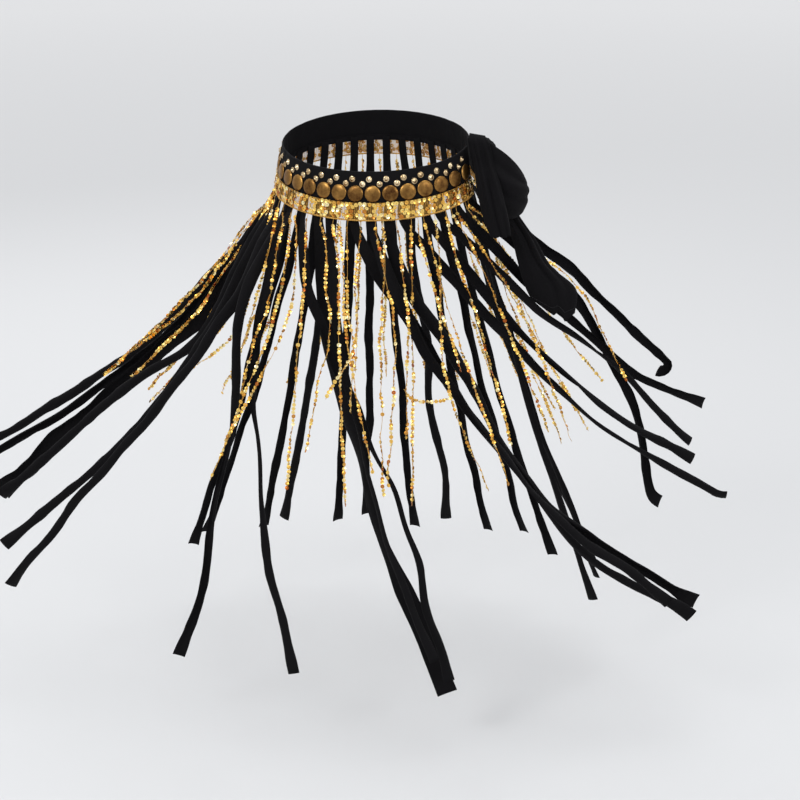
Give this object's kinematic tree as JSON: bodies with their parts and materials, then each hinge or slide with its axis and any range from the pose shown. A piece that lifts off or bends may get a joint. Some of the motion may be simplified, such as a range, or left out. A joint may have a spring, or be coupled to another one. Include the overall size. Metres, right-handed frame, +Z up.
{
  "type": "belly dance hip belt",
  "caption": "Belly dance hip belt worn low on the hips: black jersey band with brass discs and cone studs, gold sequin trim, long flying fringe and a side bow.",
  "frame": {"origin": "the middle of the hollow that the hips fill, level with the belt's half height at the sides", "axes": "+Z up the wearer's body, -Y to the wearer's front, +X to the wearer's left, where the belt is tied"},
  "size_m": [1.288, 0.6713, 0.8448],
  "materials": {
    "black_jersey": "matte stretch jersey",
    "gold_sequins": "metallised gold sequins",
    "antique_brass": "antiqued, darker in the hollows"
  },
  "bodies": {
    "root": {"band": "black_jersey", "sequin_trim": "gold_sequins", "gold_fringe": "gold_sequins", "strip_fringe": "black_jersey", "tie_knot": "black_jersey", "tie_loop": "black_jersey", "tie_end_short": "black_jersey", "tie_end_long": "black_jersey", "disc_01": "antique_brass", "disc_02": "antique_brass", "disc_03": "antique_brass", "disc_04": "antique_brass", "disc_05": "antique_brass", "disc_06": "antique_brass", "disc_07": "antique_brass", "disc_08": "antique_brass", "disc_09": "antique_brass", "disc_10": "antique_brass", "disc_11": "antique_brass", "disc_12": "antique_brass", "disc_13": "antique_brass", "disc_14": "antique_brass", "disc_15": "antique_brass", "disc_16": "antique_brass", "disc_17": "antique_brass", "disc_18": "antique_brass", "disc_19": "antique_brass", "disc_20": "antique_brass", "disc_21": "antique_brass", "disc_22": "antique_brass", "disc_23": "antique_brass", "disc_24": "antique_brass", "disc_25": "antique_brass", "disc_26": "antique_brass", "disc_27": "antique_brass", "disc_28": "antique_brass", "disc_29": "antique_brass"}
  },
  "joints": []
}
